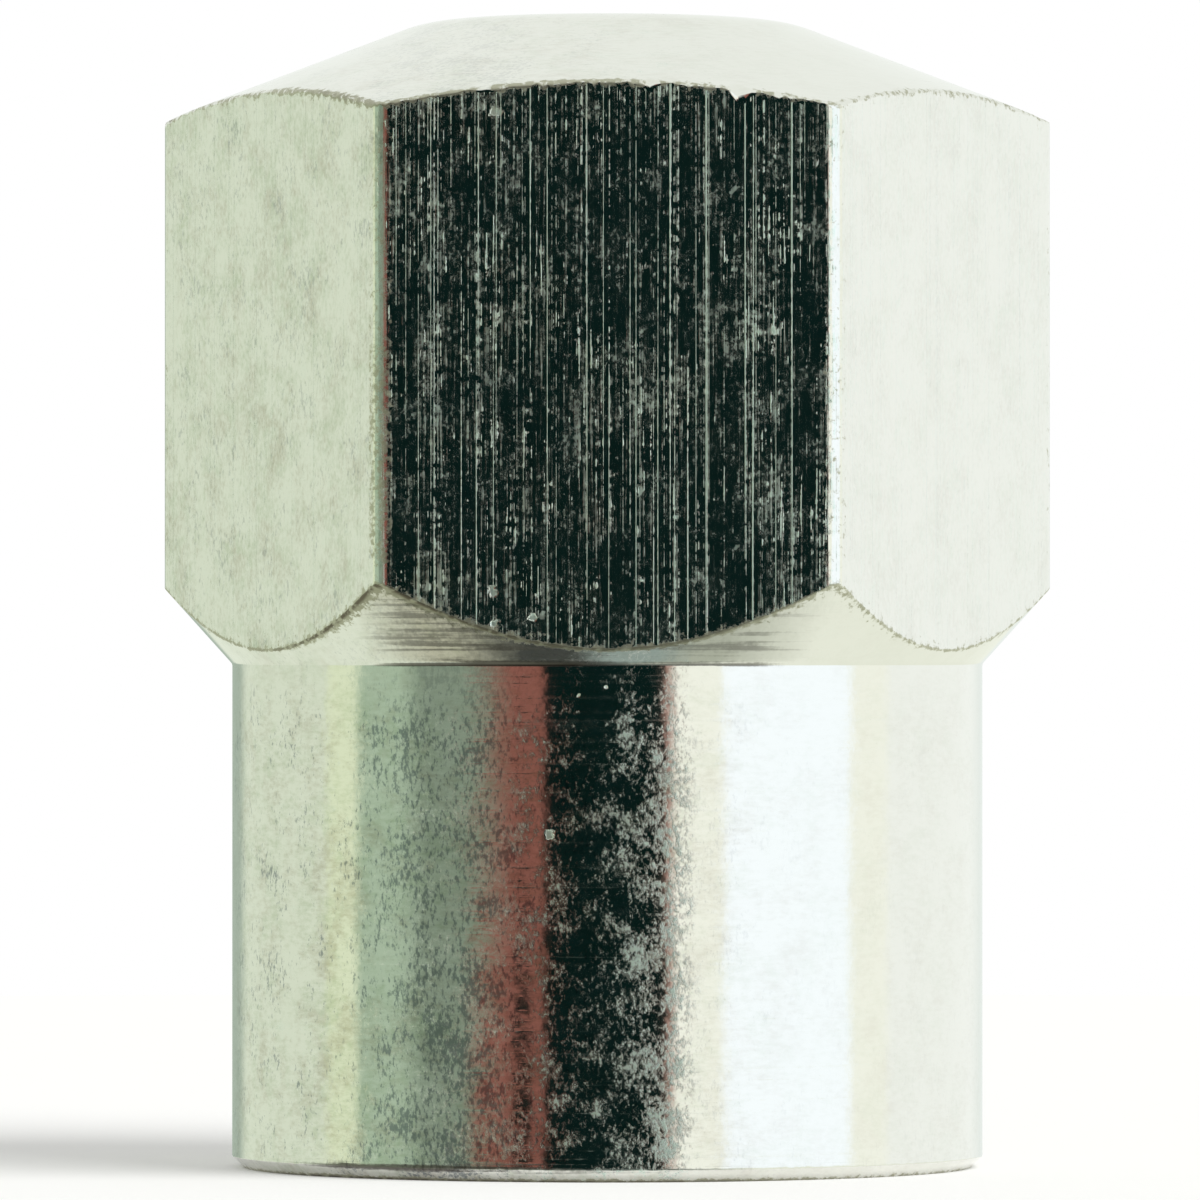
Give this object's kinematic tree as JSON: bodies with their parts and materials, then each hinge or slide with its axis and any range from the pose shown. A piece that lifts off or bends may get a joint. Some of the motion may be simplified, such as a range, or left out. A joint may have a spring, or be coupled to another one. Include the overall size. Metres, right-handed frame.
{
  "type": "tyre valve cap",
  "caption": "Hexagonal nickel-plated metal cap with a sloped top and a round skirt, which screws onto a tyre valve stem and closes it with a rubber washer inside.",
  "frame": {"origin": "centre of the open rim, on the plane that the cap stands on", "axes": "+Z along the thread's axis, from the open rim towards the closed top; a flat of the hexagon faces -Y, so two of its corners lie on X"},
  "size_m": [0.0114, 0.01, 0.0148],
  "materials": {
    "nickel_plate": "gloss",
    "seal_rubber": "matte"
  },
  "bodies": {
    "root": {"cap_body": "nickel_plate", "sealing_washer": "seal_rubber"}
  },
  "joints": []
}
